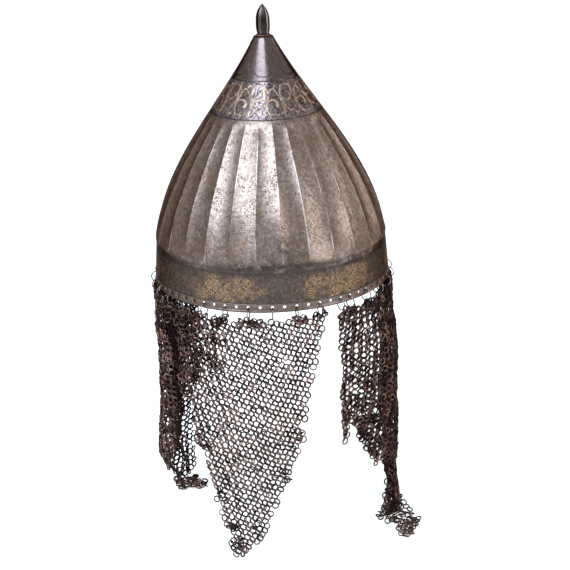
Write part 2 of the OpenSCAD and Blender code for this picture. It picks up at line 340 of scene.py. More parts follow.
class Finish(Nodes):
    """A material while it is mixed. Its methods add nodes and give back what comes out of them."""

    def __init__(self, name, metallic, roughness, tint=(1, 1, 1)):
        self.material = bpy.data.materials.new(name)
        super().__init__(self.material)
        self.set("Metallic", metallic)
        self.set("Roughness", roughness)
        self.set("Specular Tint", (*tint, 1))
        self.place = self.add("TexCoord", {}, "Object")

    def set(self, name, value):
        self.put(self.nodes["Principled BSDF"].inputs[name], value)

    def noise(self, size, detail=3.0, roughness=0.55, stretch=(1, 1, 1), shift=(0, 0, 0)):
        """Soft random values, mostly 0.3 to 0.7, that change over about size millimetres."""
        place = self.add("Mapping", {"Vector": self.place, "Scale": stretch, "Location": shift}, 0)
        inputs = {"Vector": place, "Scale": 1000 / size, "Detail": detail, "Roughness": roughness}
        return self.add("TexNoise", inputs, "Fac")

    def step(self, value, low, high):
        """0 below low and 1 above high, or the other way round, with a smooth run between."""
        flip = low > high
        inputs = {
            "Value": value, "From Min": min(low, high), "From Max": max(low, high),
            "To Min": int(flip), "To Max": int(not flip)
        }
        return self.add("MapRange", inputs, "Result", interpolation_type="SMOOTHSTEP")

    def within(self, value, low, high, soft=0.4):
        """1 where the value lies between low and high, and 0 outside, with soft edges."""
        return self.step(value, low - soft, low + soft) * self.step(value, high + soft, high - soft)

    def window(self, turns, heights):
        """1 between two turns and two heights, and 0 outside. Each is from, to and how soft its edges are."""
        return self.within(self.turn, *turns) * self.within(self.height, *heights)

    def spots(self, size, low, high, detail=3.0, roughness=0.6, shift=(0, 0, 0)):
        """1 in random spots about size millimetres wide and 0 between them, or the other way round."""
        return self.step(self.noise(size, detail, roughness, shift=shift), low, high)

    def dots(self, spacing, least, most):
        """1 in round dots, one in each random cell of about spacing millimetres, and 0 outside. The radius of
        each dot is a share of the spacing between least and most."""
        inputs = {"Vector": self.place, "Scale": 1000 / spacing}
        chance, distance = self.add("TexVoronoi", inputs, "Color", "Distance")
        radius = self.add("SeparateColor", {0: chance}, 0) * (most - least) + least
        return self.step(radius - distance, -0.05, 0.05)

    def mix(self, share, first, second):
        """The colour first, turned into second by the share."""
        first, second = [(*c, 1) if isinstance(c, tuple) else c for c in (first, second)]
        return self.add("Mix", {0: share, 6: first, 7: second}, 2, data_type="RGBA")

    def paint(self, share, colour):
        """Lays a colour over what has been mixed so far, by the share."""
        self.colour = self.mix(share, self.colour, colour)

    def bump(self, height, distance, under=None):
        """A relief whose height is a share of distance, in millimetres, laid over another relief."""
        inputs = {"Strength": 1, "Distance": distance * 0.001, "Height": height}
        if under is not None:
            inputs["Normal"] = under
        return self.add("Bump", inputs, "Normal")

    def done(self, relief):
        """Gives the shader the colour and the relief, and gives back the material."""
        self.set("Base Color", self.colour)
        self.set("Normal", relief)
        return self.material

    def axes(self):
        """Finds each place's turn round the axis, in degrees, and its height in mm."""
        x, y, z = self.add("SeparateXYZ", {0: self.place}, 0, 1, 2)
        self.turn = self.maths("ARCTAN2", x, y * -1.0) * (180 / math.pi)
        self.height = z * 1000.0

    def cell(self, value, width, middle=0.0):
        """Repeats a value every width: from -width/2 to width/2, with 0 at the middle and its repeats."""
        return self.maths("FLOORED_MODULO", value + (width / 2 - middle), width) - width / 2

    def spirals(self, along, up, width, rise, thick):
        """Spirals in cells of width by rise: the line is where radius / pitch less turn / 360 is whole."""
        x, y = self.cell(along, width), self.cell(up, rise)
        radius = self.maths("SQRT", x * x + y * y)
        turn = self.maths("ARCTAN2", y, x) / (2 * math.pi)
        pitch = rise / 3.4
        gap = abs(self.maths("FRACT", radius / pitch - turn) - 0.5)
        return self.step(gap, 0.5 - thick / pitch, 0.5 - 0.5 * thick / pitch)


def bare_steel(steel, mottle, cone):
    """Brown-grey steel: mottled, streaked up and down, stained in places, speckled with fine dark pits, and
    lighter along the ridges, both worn and painted as a highlight. The cone has kept a darker polish, and
    the strip with the holes and the lip are rubbed brown. Gives back the speckle and the pits, which the
    relief has too."""
    steel.colour = steel.mix(steel.step(mottle, 0.36, 0.64), (0.118, 0.085, 0.069), (0.222, 0.171, 0.146))
    streaks = steel.noise(5, 4, 0.6, stretch=(1, 1, 0.2))
    steel.paint(steel.step(streaks, 0.42, 0.66) * 0.45, (0.118, 0.085, 0.068))
    stains = steel.spots(22, 0.48, 0.62, 5)
    steel.paint(stains * 0.42, (0.112, 0.074, 0.055))
    crowd = steel.spots(20, 0.44, 0.60, 3, shift=(0.2, 0, 0))
    speckle = steel.spots(1.5, 0.53, 0.60, 3, 0.7) * ((0.26 + crowd * 0.38) * (1 - cone * 0.8))
    steel.paint(speckle, (0.062, 0.040, 0.030))
    pits = steel.maths("MAXIMUM", steel.dots(3.0, -0.35, 0.34), steel.dots(1.7, -0.1, 0.36) * crowd)
    steel.paint(pits * 0.66, (0.045, 0.030, 0.024))
    rust = steel.spots(4.5, 0.52, 0.62, 3, shift=(0.3, 0, 0)) * steel.window((-47, -10, 8), (46, 66, 9))
    steel.paint(rust * 0.5, (0.125, 0.068, 0.046))
    soot = steel.window((-2, 16, 6), (44, 66, 12)) * steel.spots(9, 0.40, 0.58, 4)
    steel.paint(soot * 0.75, (0.060, 0.046, 0.036))
    # wear and painted highlight: a lighter line along each ridge, broken up by large spots
    from_ridge = abs(steel.cell(steel.turn, 360 / flutes, flute_turn))
    ridges = steel.step(from_ridge, 0.5, 0.15) * steel.within(steel.height, flute_foot + 3, 150, 4)
    worn = steel.spots(45, 0.46, 0.60, 3, shift=(0, 0.7, 0))
    steel.paint(ridges * worn * 0.5, (0.46, 0.43, 0.40))
    steel.paint(cone * 0.85, steel.mix(mottle, (0.050, 0.037, 0.036), (0.104, 0.079, 0.075)))
    strip = steel.step(steel.height, 9.6, 8.2)
    steel.paint(strip * 0.8, steel.mix(mottle, (0.080, 0.055, 0.044), (0.145, 0.105, 0.087)))
    return speckle, pits


lower_low, lower_high = 8.6, 37.5  # heights of the dark band over the rim
scroll_w, scroll_h = 8.9, 8.6  # size of the cell of one scroll
scroll_z = 14.0  # height of the lowest scrolls' middles
scroll_cut = 0.50  # half width of a scroll's line
scroll_sway = 9.0  # how far the scrolls wander
gilt_patches = 6
gilt_turn, gilt_half = 34.0, 23.0  # turn of the first patch's middle, and half its width, degrees
gilt_z, gilt_rise = 21.0, 13.5  # height of its middle, and half its height


def lower_band(steel, mottle):
    """The band over the rim: a dark ground, patches of gilding and engraved scrolls that run over both, with
    finer lines between. Its upper edge is dark, and darker still at the front over the flutes' feet, which
    dims the ledge's reflection there. A patch is |x|^2.4 + |y|^2 of its half sizes, with worn edges. Gives
    back the band and its scrolls."""
    lower = steel.within(steel.height, lower_low, lower_high, 0.5)
    ground = steel.mix(steel.step(mottle, 0.35, 0.65), (0.052, 0.037, 0.029), (0.105, 0.077, 0.060))
    steel.paint(lower * 0.93, ground)
    sway = (steel.noise(10, 2) - 0.5) * scroll_sway
    lift = (steel.noise(10, 2, shift=(0.5, 0, 0)) - 0.5) * scroll_sway
    arc = steel.turn * (math.pi / 180 * rim_r) + sway
    level = steel.height - scroll_z + lift
    scroll = steel.spirals(arc, level, scroll_w, scroll_h, scroll_cut) * lower
    patch_x = steel.cell(steel.turn, 360 / gilt_patches, gilt_turn) / gilt_half
    patch_y = (steel.height - gilt_z) / gilt_rise
    reach = abs(patch_x) ** 2.4 + abs(patch_y) ** 2.0
    worn = steel.noise(13, 5, 0.7, shift=(0.1, 0.2, 0)) + reach * 0.13
    kept = 1 - steel.within(steel.turn, -85, -37, 5) * 0.7
    gilt = steel.step(worn, 0.67, 0.49) * steel.step(reach, 1.15, 0.8) * lower * kept
    rubbed = 0.28 + steel.spots(3, 0.40, 0.56, 4) * 0.45
    steel.paint(gilt * rubbed, (0.330, 0.205, 0.108))
    scrolls = scroll * (0.40 + gilt * 0.45)
    steel.paint(scrolls, (0.030, 0.024, 0.021))
    fine = steel.within(steel.noise(2.6, 1, shift=(0, 0, 0.3)), 0.46, 0.54, 0.02)
    steel.paint(fine * lower * 0.45, (0.034, 0.027, 0.023))
    edge = steel.within(steel.height, lower_high - 3.0, lower_high + 4.5, 2.6)
    steel.paint(edge * steel.spots(14, 0.34, 0.52, 3) * 0.75, (0.035, 0.028, 0.025))
    # darkened over the flutes' feet at the front, which dims the bright reflection of their ledge
    ledge_dark = steel.window((-24, 25, 8), (39.5, 45.5, 2.5)) * 0.85
    steel.paint(ledge_dark * steel.spots(9, 0.34, 0.52, 4, shift=(0.6, 0, 0)), (0.030, 0.025, 0.023))
    return lower, scrolls


upper_low, upper_high = 165.2, 196.8  # heights of the dark band round the cone


def upper_band(steel, mottle):
    """The band round the cone: a dark ground punched all over with tiny curls, which it gives back."""
    upper = steel.within(steel.height, upper_low, upper_high, 0.4)
    curls = steel.within(steel.noise(3.3, 1), 0.455, 0.545, 0.015)
    ground = steel.mix(mottle, (0.105, 0.080, 0.076), (0.185, 0.150, 0.146))
    steel.paint(upper * 0.88, steel.mix(curls, ground, (0.030, 0.023, 0.023)))
    return curls * upper


petals = 6
petal_turn = -3.0  # turn of the first petal's tip, degrees
petal_low, petal_rise = 200.5, 17.0  # height of a petal's tip, and how far its sides climb


def engraved_lines(steel):
    """The bands' borders, and six petals round the foot of the plain tip, whose sides climb with the cube of
    the way from the petal's tip. Gives back the lines."""
    side = abs(steel.cell(steel.turn, 360 / petals, petal_turn) / (180 / petals))
    miss = abs(steel.height - (side ** 3.0 * petal_rise + petal_low))
    slant = side * side * 0.6 + 0.28
    lines = steel.step(miss / slant, 1.9, 1.1) * steel.step(side, 0.95, 0.5)
    for z in (lower_low - 0.2, upper_low, upper_high):
        lines = steel.maths("MAXIMUM", lines, steel.within(steel.height, z - 0.4, z + 0.4, 0.25))
    steel.paint(lines * 0.8, (0.032, 0.026, 0.024))
    return lines


def bowl_steel():
    """Old steel with a fine grain of pits, smoother on the cone and duller on the lower band. Its pits, curls
    and engraved lines are also cut into its relief."""
    steel = Finish("bowl_steel", 1.0, 0.3, tint=(0.24, 0.22, 0.20))
    steel.axes()
    mottle = steel.noise(3.2, 6, 0.70)
    cone = steel.step(steel.height, flute_top - 6, flute_top + 22)
    speckle, pits = bare_steel(steel, mottle, cone)
    lower, scrolls = lower_band(steel, mottle)
    curls = upper_band(steel, mottle)
    lines = engraved_lines(steel)
    steel.set("Roughness", 0.25 + mottle * 0.12 - cone * 0.10 + speckle * 0.25 + lower * 0.10)
    relief = steel.bump(mottle * (1 - cone * 0.8), 0.11)
    relief = steel.bump(1 - speckle, 0.08, relief)
    relief = steel.bump(1 - pits, 0.12, relief)
    relief = steel.bump(curls * -1.0, 0.2, relief)
    return steel.done(steel.bump(1 - steel.maths("MAXIMUM", lines, scrolls), 0.2, relief))


bowl.data.materials.append(bowl_steel())


# Gold of the upper band
# The band round the cone is inlaid with gold wire hammered flat: a waving vine with a coiled shoot in every
# bend and slender leaves between. Each stroke is a thin ribbon that stands a hair proud of the steel.

vine_low, vine_high = 167.2, 195.2  # heights between which the vine grows
waves = 9  # waves of the vine round the cone
cone_slant = 1.2  # length up the cone for each millimetre of height
ribbon = ((-0.5, -0.05), (-0.34, 0.12), (0.34, 0.12), (0.5, -0.05))  # share of its width, mm over the steel


def inlay(strokes):
    """Ribbons on the cone. A stroke is a path of (share of a wave, share of the height) and its widths in mm.

    Each ribbon has four points across, set out square to the path: its edges are sunk in the steel and its
    middle stands above it. The path is repeated round the cone, once for each wave.
    """
    points, faces, count = [], [], 0
    turn = 360 / waves
    for path, width in strokes:
        along, up = path.T
        z = vine_low + (vine_high - vine_low) * up
        radius = bowl_r(z)
        flat = np.stack([np.radians(along * turn) * radius, z * cone_slant], axis=-1)
        run = np.gradient(flat, axis=0)
        run /= np.linalg.norm(run, axis=1)[:, None] + 1e-9
        square = np.stack([-run[:, 1], run[:, 0]], axis=-1)
        for share, lift in ribbon:
            off = square * (share * width)[:, None]
            height = z + off[:, 1] / cone_slant
            angle = along * turn + np.degrees(off[:, 0] / radius)
            turns = angle[None, :] + turn * np.arange(waves)[:, None]
            points.append(polar(turns, bowl_r(height)[None, :] + lift, height[None, :]))
        n = len(z)
        line = waves * n
        at = count + np.arange(waves)[:, None] * n + np.arange(n - 1)
        for k in range(len(ribbon) - 1):
            a = at + k * line
            faces.append(np.stack([a, a + line, a + line + 1, a + 1], axis=-1).reshape(-1, 4))
        count += len(ribbon) * line
    points = np.concatenate([part.reshape(-1, 3) for part in points])
    mesh = new_mesh("upper_band_gold", points, np.concatenate(faces))
    mesh.shade_smooth()
    return in_scene("upper_band_gold", mesh)


def stem():
    """The vine's stem: one full sine wave, rising from the middle of the band, 1.4 mm wide."""
    t = np.linspace(0, 1, 49)
    return np.stack([t, 0.5 + 0.33 * np.sin(2 * np.pi * t)], axis=-1), np.full(t.size, 1.4)


def shoot(middle, start, way):
    """A shoot that coils in from the stem: its radius falls from 0.35 to 0.05 of the height over 1.25 turns,
    and its width swells to a bud at the inner end."""
    t = np.linspace(0, 1, 44)
    angle = np.radians(start + way * 450 * t)
    radius = 0.30 * (1 - t) ** 0.75 + 0.05
    path = np.stack([middle[0] + radius * np.cos(angle) * 1.08, middle[1] + radius * np.sin(angle)], axis=-1)
    return path, (1.1 + 2.0 * ease(0.55, 0.92, t)) * np.sqrt(1 - ease(0.93, 1.02, t))


def leaf(corners, widest, peak=0.4):
    """A slender leaf along a smooth path through a few points. Its width swells along a quarter sine to the
    peak's share of the way, and tapers along a quarter cosine to the tip."""
    t = np.linspace(0, 1, 22)
    n = len(corners)
    knots = np.vander(np.linspace(0, 1, n), increasing=True)
    path = np.vander(t, n, increasing=True) @ np.linalg.solve(knots, np.array(corners, float))
    swell = np.where(t < peak, np.sin(np.pi / 2 * t / peak), np.cos(np.pi / 2 * (t - peak) / (1 - peak)))
    return path, widest * (0.1 + 0.9 * swell)


vine = [
    stem(),
    shoot((0.25, 0.34), 55, -1),
    shoot((0.75, 0.66), -55, 1),
    leaf([(0.00, 0.50), (-0.04, 0.74), (0.01, 1.00)], 2.8),
    leaf([(0.50, 0.50), (0.54, 0.26), (0.49, 0.00)], 2.8),
    leaf([(0.06, 0.60), (0.02, 0.40), (0.07, 0.16), (0.14, 0.02)], 2.0, 0.5),
    leaf([(0.56, 0.40), (0.52, 0.60), (0.57, 0.84), (0.64, 0.98)], 2.0, 0.5),
    leaf([(0.30, 0.82), (0.40, 0.93), (0.46, 0.86)], 1.8, 0.6),
    leaf([(0.80, 0.18), (0.90, 0.07), (0.96, 0.14)], 1.8, 0.6),
]
upper_gold = inlay(vine)
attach(upper_gold, "helmet")

# hammered gold, tan and dull, rubbed brown in places and scratched through to dark steel in others
gold = Finish("worn_gold", 1.0, 0.40, tint=(0.4, 0.36, 0.32))
gold.colour = gold.mix(gold.spots(7, 0.42, 0.62, 4), (0.315, 0.212, 0.150), (0.18, 0.118, 0.080))
gold.paint(gold.spots(2.6, 0.50, 0.60, 4, 0.7, shift=(0.2, 0, 0)), (0.085, 0.068, 0.06))
upper_gold.data.materials.append(gold.done(gold.bump(gold.noise(1.2, 3), 0.08)))


# Finial
# A six-sided steel bud, forged with a tang that goes down through the bowl's top and is hammered over a small
# rove inside. A rusted iron washer sits under the bud's foot.

washer_t = 1.2  # thickness of the washer
washer_r = 7.2
bud_z = bowl_h + washer_t
bud_h = 28.3
bud_waist = 8.5  # height of the widest place
bud_r = 6.75  # radius across the edges there
bud_foot_r = 5.6
bud_turn = 23.0  # turn of the first edge, degrees
bud_ease = 0.48  # turn from the side's middle at which its edges are eased, radians
rove_t = 1.6  # thickness of the rove
around = np.arange(96) * 360 / 96  # turns of the points round the finial and the washer


def bud_grid():
    """The bud: radius by height from a swelling foot to a pointed head, times a six-sided section with edges
    eased over a few degrees, whose side lies at cos 30 / cos of the turn from the side's middle."""
    t = np.concatenate([np.linspace(0, 0.9, 30), 0.9 + 0.1 * np.sin(np.linspace(0, np.pi / 2, 9)[1:])])
    z = bud_h * t
    low = bud_foot_r + (bud_r - bud_foot_r) * np.sin(np.pi / 2 * np.clip(z / bud_waist, 0, 1))
    high = bud_r * (1 - np.clip((z - bud_waist) / (bud_h - bud_waist), 0, 1) ** 3.1)
    radius = np.where(z < bud_waist, low, high)
    off = np.radians(np.mod(around - bud_turn, 60) - 30)
    side = math.cos(math.pi / 6) / np.cos(np.clip(off, -bud_ease, bud_ease))
    return polar(around[None, :], radius[:, None] * side[None, :], bud_z + z[:, None])


def tang_grid():
    """The tang under the bud: straight down the hole to the rove, then its domed, hammered head."""
    low = crown_z - rove_t
    profile = [
        (0, low - 1.4), (2.2, low - 1.4), (3.3, low - 0.8), (3.5, low), (tang_r, low), (tang_r, bud_z)
    ]
    return rings_of(profile, around)


finial = make_piece("bud_finial", [np.concatenate([tang_grid(), bud_grid()])], sharp=28)
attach(finial, "helmet")
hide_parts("finial")

# dark brown steel, smoother than the bowl, with small pits, and painted highlights on two sides
dark = Finish("finial_steel", 1.0, 0.34, tint=(0.30, 0.25, 0.22))
dark.axes()
dark.colour = dark.mix(dark.spots(6, 0.4, 0.7, 4), (0.018, 0.012, 0.010), (0.038, 0.027, 0.023))
dark.paint(dark.spots(1.1, 0.60, 0.68, 2), (0.03, 0.021, 0.018))
# painted highlight: a bright line down the right side, and a painted reflection that lightens the left facet
dark.paint(dark.within(dark.turn, 40, 55, 6) * 0.75, (0.33, 0.30, 0.29))
dark.paint(dark.within(dark.turn, -44, -16, 8) * 0.7, (0.085, 0.073, 0.071))
finial.data.materials.append(dark.done(dark.bump(dark.noise(1.6, 4, 0.6), 0.1)))


def washer_grid():
    """The washer: a flat ring with rounded outer corners, whose rim is eaten in and out by up to 0.25 mm."""
    profile = np.array([
        (tang_r, bowl_h), (washer_r - 0.4, bowl_h), (washer_r, bowl_h + 0.4), (washer_r, bowl_h + 0.8),
        (washer_r - 0.4, bud_z), (tang_r, bud_z), (tang_r, bowl_h)
    ])
    a = np.radians(around)
    eaten = 0.13 * np.sin(3 * a + 1) + 0.08 * np.sin(7 * a) + 0.04 * np.sin(13 * a + 2)
    outer = (profile[:, 0] > 4)[:, None]
    return polar(around[None, :], profile[:, :1] + outer * (eaten - 0.25)[None, :], profile[:, 1:])


washer = make_piece("rusty_washer", [washer_grid()])
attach(washer, "helmet")
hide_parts("finial_washer")

# rusted iron: a dark brown crust with orange-brown bloom and a rough, grainy surface
rust = Finish("rusty_iron", 0.35, 0.8)
rust.colour = rust.mix(rust.spots(2.4, 0.4, 0.62, 4, 0.7), (0.045, 0.026, 0.018), (0.17, 0.075, 0.035))
rusty_iron = rust.done(rust.bump(rust.noise(0.8, 3), 0.15))
washer.data.materials.append(rusty_iron)


def refinish(name, material):
    """Gives a piece of the frame its material."""
    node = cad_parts[name]
    node.data.materials.clear()
    node.data.materials.append(material)


refinish("tang_rove", rusty_iron)


# Hanger rings
# Loops of thin iron wire, one through a rim hole and round the lip at every place where the mail hangs. The
# loops are the frame's own; only their worn iron is added here.

# bare iron wire, darkened, with brighter rubbed places and a few rusty ones
iron = Finish("ring_iron", 1.0, 0.38)
iron.colour = iron.mix(iron.spots(2.5, 0.45, 0.62, 2), (0.060, 0.047, 0.040), (0.27, 0.235, 0.21))
iron.paint(iron.spots(4, 0.58, 0.68, 3, shift=(0, 0, 0.4)), (0.11, 0.05, 0.03))
ring_iron = iron.done(iron.bump(iron.noise(0.9, 2), 0.06))
for name in ("neck_hanger_rings", "left_hanger_rings", "right_hanger_rings"):
    refinish(name, ring_iron)


# Mail
# Iron rings, each linked through four others, hang in three panels. In a row all rings lean one way, and in
# the next row the other way. The panels bend with the swing from their hanger rings down.

wire_r = 0.75  # radius of a mail ring's wire
wire_sides = 4
ring_places = 11  # points round a ring
mail_ring_r = 3.0  # from a ring's middle to its wire's middle
ring_pitch = 7.4  # from ring to ring along a row
row_pitch = 3.0  # from row to row
ring_lean = 17.0  # degrees
mail_top = -7.6  # height of the hanger rings' foot, under which the mail begins
mail_drop = 254.0  # depth of the ground under the rim
mail_r = 116.0  # radius that the panels hang on
hanger_step = 11.25  # angle between hanger rings
top_gap, sag = 0.8, 1.8  # from mail_top up to the first row at a hanger ring, and how far that row sags
side_gap, frayed = 1.5, 7.0  # from a panel's sides to its first rings, and to where none are lost
ground_gap = 3.0  # from the ground up to a panel's last rings
jostle = 0.4  # how far a ring lies off its place in the lattice
lattice_z = -130.0  # height of the middle of a panel's lattice
lattice_more = 60  # how much further than the mail's depth it reaches from there
deep_in = 3.0  # a layer that lies this far inside is in the panel's shadow


def one_ring():
    """A ring in the XY plane: a square-set wire section carried round a circle."""
    places, sides = np.mgrid[0:ring_places, 0:wire_sides]
    u = places * 2 * np.pi / ring_places
    w = (sides + 0.5) * 2 * np.pi / wire_sides
    out = mail_ring_r + wire_r * np.cos(w)
    points = [out * np.cos(u), out * np.sin(u), wire_r * np.sin(w)]
    at = places * wire_sides + sides
    along, up = np.roll(at, -1, axis=0), np.roll(at, -1, axis=1)
    faces = np.stack([at, along, np.roll(along, -1, axis=1), up], axis=-1)
    return np.stack(points, axis=-1).reshape(-1, 3), faces.reshape(-1, 4)


def turned(axes, angle, about):
    """Three axes turned by an angle about one of them: its two partners mix by cosine and sine."""
    axes = list(axes)
    one, two = [k for k in range(3) if k != about]
    c, s = np.cos(np.radians(angle))[:, None], np.sin(np.radians(angle))[:, None]
    axes[one], axes[two] = c * axes[one] + s * axes[two], c * axes[two] - s * axes[one]
    return axes


def unit(rows):
    """Rows of vectors, each brought to length one."""
    return rows / np.linalg.norm(rows, axis=1)[:, None]


def make_mail(name, groups, random):
    """Rings at their middles (mm), in the plane of row and down, each leaned about down and jostled a little.
    A group is middles, rows, downs, leans and tones, and a ring's iron is coloured by its tone, 0 to 1."""
    middle, row, down, lean, tones = [np.concatenate(part) for part in zip(*groups)]
    count = len(middle)
    out = unit(np.cross(row, down))
    axes = turned((unit(row), unit(np.cross(out, row)), out), lean + random.normal(0, 8, count), 1)
    axes = turned(axes, random.normal(0, 9, count), 0)
    size = random.normal(1, 0.03, count)[:, None, None]
    shape, faces = one_ring()
    spread = sum(shape[None, :, k, None] * axes[k][:, None, :] for k in range(3))
    points = middle[:, None, :] + size * spread
    all_faces = faces[None] + (np.arange(count) * len(shape))[:, None, None]
    mesh = new_mesh(name, points.reshape(-1, 3) * 0.001, all_faces.reshape(-1, 4))
    mesh.shade_smooth()
    tone = mesh.attributes.new("tone", "FLOAT", "POINT")
    tone.data.foreach_set("value", np.repeat(tones, len(shape)).astype(np.float32))
    mesh.materials.append(mail_iron)
    return in_scene(name, mesh)


class Panel:
    """A hanging panel. Its outline has a share of the way down and the angles where the panel starts and ends
    there, and its hang has a share and how far it hangs out.

    Hanger is the angle of one of its hanger rings, grain turns its rows, and pitch is from ring to ring. Fold
    is the depth of its folds, first the share of a fold that it starts with, and gather the depth of two
    narrower folds in its lower part.
    """

    def __init__(
        self, outline, hang, hanger, grain, fold=1.5, folds=3.0, first=0.0, gather=0.0, pitch=ring_pitch
    ):
        self.outline = np.array(outline, float)
        self.hang = np.array(hang, float)
        self.hanger, self.grain, self.pitch = hanger, math.radians(grain), pitch
        self.fold, self.folds, self.first, self.gather = fold, folds, first, gather
        self.mid = (self.outline[0, 1] + self.outline[0, 2]) / 2
        self.widest = self.outline[0, 2] - self.outline[0, 1]

    def sides(self, v):
        return [np.interp(v, self.outline[:, 0], self.outline[:, k]) for k in (1, 2)]

    def place(self, angle, z, inward=0.0):
        """Point of the sheet, in mm. Its radius is mail_r plus the hang and two sine waves across the panel:
        the folds, which shrink as it narrows, and the gathers near its end."""
        v = np.clip((-z + mail_top) / (mail_drop + mail_top), 0, 1)
        start, end = self.sides(v)
        u = np.clip((angle - start) / (end - start), 0, 1)
        width = (end - start) / self.widest
        folds = self.fold * width * np.sin(2 * np.pi * (self.folds * u + self.first)) * ease(0, 0.2, v)
        gathers = self.gather * np.sin(4 * np.pi * u) * ease(0.62, 0.85, v)
        radius = mail_r + np.interp(v, self.hang[:, 0], self.hang[:, 1]) + folds + gathers
        return polar(angle, radius - inward, z) * 1000

    def rings(self, random, loose=0.10, region=None, inward=0.0, gaps=(), share=1.0, zones=(), aligned=True):
        """Middles, rows, downs, leans and tones of the panel's rings, on a lattice turned by the grain.

        The top row sags a little between the hanger rings. Loose is the share of the rings at the sides that
        are lost, and share how many of all the rings are there. A region is angles from and to and heights
        from and to. Inward moves a layer towards the axis, and a layer deep_in or more inside is painted
        darker as shade. A layer that isn't aligned lies askew. A gap is angle, height, half width and half
        height, and has lost its rings. A zone is angles from and to, a factor for its tones, which paints
        shade or light on its rings, and degrees that its rings are turned.
        """
        half = mail_drop + lattice_more
        rows, across = int(2 * half / row_pitch), int(2 * half / self.pitch)
        j, i = np.mgrid[0:rows, 0:across]
        x = (i + 0.5 * (j % 2)) * self.pitch - half
        y = j * row_pitch - half
        lean = np.where(j % 2 == 0, ring_lean, -ring_lean).ravel()
        grain = self.grain if aligned else 0.5 * self.grain - 0.1
        c, s = math.cos(grain), math.sin(grain)
        along = (c * x - s * y).ravel() + random.normal(0, jostle, x.size)
        level = (s * x + c * y).ravel() + lattice_z + random.normal(0, jostle, x.size)
        angle = self.mid + np.degrees(along / mail_r)
        top = mail_top + top_gap - sag * np.sin(np.pi * (angle - self.hanger) / hanger_step) ** 2
        v = np.clip((-level + mail_top) / (mail_drop + mail_top), 0, 1)
        start, end = self.sides(v)
        edge = np.minimum(angle - start, end - angle) * math.radians(1) * mail_r
        lost = (random.random(x.size) < loose) & (edge < frayed)
        inside = (edge > side_gap) & (level < top) & (level > -mail_drop + ground_gap) & ~lost
        if region is not None:
            inside &= (angle > region[0]) & (angle < region[1]) & (level < region[2]) & (level > region[3])
        for turn, z, half_w, half_h in gaps:
            across_gap = np.radians(angle - turn) * mail_r / half_w
            inside &= across_gap ** 2 + ((level - z) / half_h) ** 2 > 1
        inside &= random.random(x.size) < share
        angle, level, lean = angle[inside], level[inside], lean[inside]
        # painted shade: a layer deep_in or more inside has its tones cut to 0.12
        tones = random.random(len(angle)) ** 1.8 * (1.0 if inward < deep_in else 0.12)
        # a zone's factor paints shade on its rings' tones where it is below 1, and light where it is above 1
        for low, high, factor, more in zones:
            zone = (angle > low) & (angle < high)
            tones = np.where(zone, np.minimum(tones * factor, 1), tones)
            lean = np.where(zone, lean + more, lean)
        step = 0.5
        aside = math.degrees(step / mail_r)
        right = unit(self.place(angle + aside, level, inward) - self.place(angle - aside, level, inward))
        under = unit(self.place(angle, level - step, inward) - self.place(angle, level + step, inward))
        return self.place(angle, level, inward), c * right - s * under, under, lean, tones


def chains(panel, places, random):
    """Single chains of rings that have come loose. A place is an angle and the heights that its chain hangs
    from and to, and every second ring is turned across the others."""
    groups = []
    for turn, high, low in places:
        z = np.arange(high, low, -1.3 * mail_ring_r)
        angle = turn + random.normal(0, 0.3, len(z))
        right = unit(panel.place(angle + 0.2, z) - panel.place(angle - 0.2, z))
        down = np.tile([0.0, 0.0, -1.0], (len(z), 1))
        lean = 60.0 * (np.arange(len(z))[::-1] % 2)
        groups.append((panel.place(angle, z), right, down, lean, random.random(len(z))))
    return [np.concatenate(part) for part in zip(*groups)]


def tangle(places, random):
    """Rings caught up in bunches. A place is angle, height, half width, half height and a count, and the
    rings in it are spread evenly at random and turned every way."""
    middle, row, down = [], [], []
    for angle, z, half_w, half_h, count in places:
        off = random.uniform(-1, 1, (count, 2))
        turn = angle + np.degrees(off[:, 0] * half_w / mail_r)
        middle.append(polar(turn, mail_r + random.uniform(-2.5, 4, count), z + off[:, 1] * half_h) * 1000)
        row.append(random.normal(size=(count, 3)))
        down.append(random.normal(size=(count, 3)))
    middle, row, down = [np.concatenate(part) for part in (middle, row, down)]
    return middle, row, down, np.zeros(len(middle)), random.uniform(0.1, 0.8, len(middle)) ** 1.5


# blackened iron: the tone runs from near black to brown, and the rustiest rings are red-brown
iron = Finish("mail_iron", 0.75, 0.45, tint=(0.35, 0.27, 0.23))
iron.set("Specular IOR Level", 0.15)
tone = iron.add("Attribute", {}, "Fac", attribute_name="tone")
iron.colour = iron.mix(tone, (0.0085, 0.0040, 0.0031), (0.275, 0.163, 0.130))
iron.paint(iron.spots(3, 0.45, 0.62), (0.0205, 0.0110, 0.0088))
iron.paint(iron.step(tone, 0.55, 0.85) * iron.spots(26, 0.48, 0.62, 2), (0.095, 0.048, 0.036))
mail_iron = iron.done(iron.bump(iron.noise(0.9, 2), 0.08))


# Neck panel
# The middle panel, cut to a long ragged point, with its rows turned 20 degrees. It hangs from six rings, and
# some of its rings are caught up in bunches under them, along its edges and at its tip.

